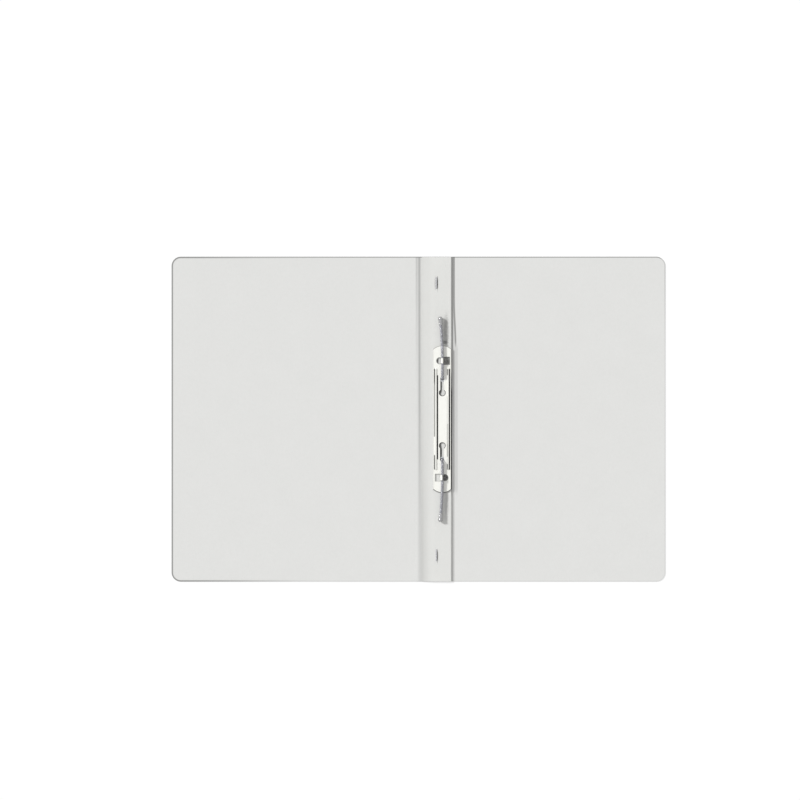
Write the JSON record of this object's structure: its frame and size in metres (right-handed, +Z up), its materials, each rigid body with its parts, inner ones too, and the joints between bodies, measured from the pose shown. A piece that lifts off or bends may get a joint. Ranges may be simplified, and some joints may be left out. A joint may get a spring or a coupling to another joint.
{
  "type": "fastener folder",
  "caption": "Open card folder with a scored spine and a folded filing strip that carries coil-spring paper prongs hooked down on a pressed cover bar.",
  "frame": {"origin": "on the table under the middle of the spine, folder lying open", "axes": "+X to the free edge of the rear cover, +Y to the head of the folder, +Z up"},
  "size_m": [0.4864, 0.32, 0.0066],
  "materials": {
    "cover_card": "matt pressed card",
    "strip_card": "matt pressed card",
    "staple_wire": "drawn flat wire",
    "rail_steel": "zinc-plated sheet",
    "spring_wire": "drawn spring wire",
    "tip_steel": "bright nickel plate",
    "bar_enamel": "satin white stove enamel"
  },
  "bodies": {
    "rear_leaf": {"rear_cover": "cover_card", "filing_strip": "strip_card", "top_staple": "staple_wire", "bottom_staple": "staple_wire", "base_rail": "rail_steel", "upper_spring_cup": "rail_steel", "lower_spring_cup": "rail_steel"},
    "spine": {"spine_panel": "cover_card"},
    "front_leaf": {"front_cover": "cover_card"},
    "bar": {"cover_bar": "bar_enamel"},
    "upper_prong": {"upper_spring": "spring_wire"},
    "upper_tip": {"upper_spring_tip": "tip_steel"},
    "lower_prong": {"lower_spring": "spring_wire"},
    "lower_tip": {"lower_spring_tip": "tip_steel"}
  },
  "joints": [
    {"name": "spine_fold", "type": "hinge", "parent": "rear_leaf", "child": "spine", "pos_m": [0.0032, 0, 0.0005], "axis": [0, -1, 0], "range_deg": [-90, 0]},
    {"name": "cover_fold", "type": "hinge", "parent": "spine", "child": "front_leaf", "pos_m": [-0.0032, 0, 0.0005], "axis": [0, -1, 0], "range_deg": [-90, 0]},
    {"name": "bar_lift", "type": "slide", "parent": "rear_leaf", "child": "bar", "axis": [0, 0, 1], "range_m": [0, 0.018], "deforming": ["upper_spring", "lower_spring"]},
    {"name": "upper_prong_swing", "type": "hinge", "parent": "bar", "child": "upper_prong", "pos_m": [0.02345, 0.04, 0.0044], "axis": [1, 0, 0], "range_deg": [0, 90], "deforming": ["upper_spring"]},
    {"name": "lower_prong_swing", "type": "hinge", "parent": "bar", "child": "lower_prong", "pos_m": [0.02345, -0.04, 0.0044], "axis": [-1, 0, 0], "range_deg": [0, 90], "deforming": ["lower_spring"]},
    {"name": "upper_tip_draw", "type": "slide", "parent": "upper_prong", "child": "upper_tip", "axis": [0.0872, -0.9962, 0], "range_m": [0, 0.018]},
    {"name": "lower_tip_draw", "type": "slide", "parent": "lower_prong", "child": "lower_tip", "axis": [0.0872, 0.9962, 0], "range_m": [0, 0.018]}
  ],
  "couplings": [
    {"joint": "upper_tip_draw", "follows": "bar_lift", "ratio": 1},
    {"joint": "lower_tip_draw", "follows": "bar_lift", "ratio": 1}
  ]
}
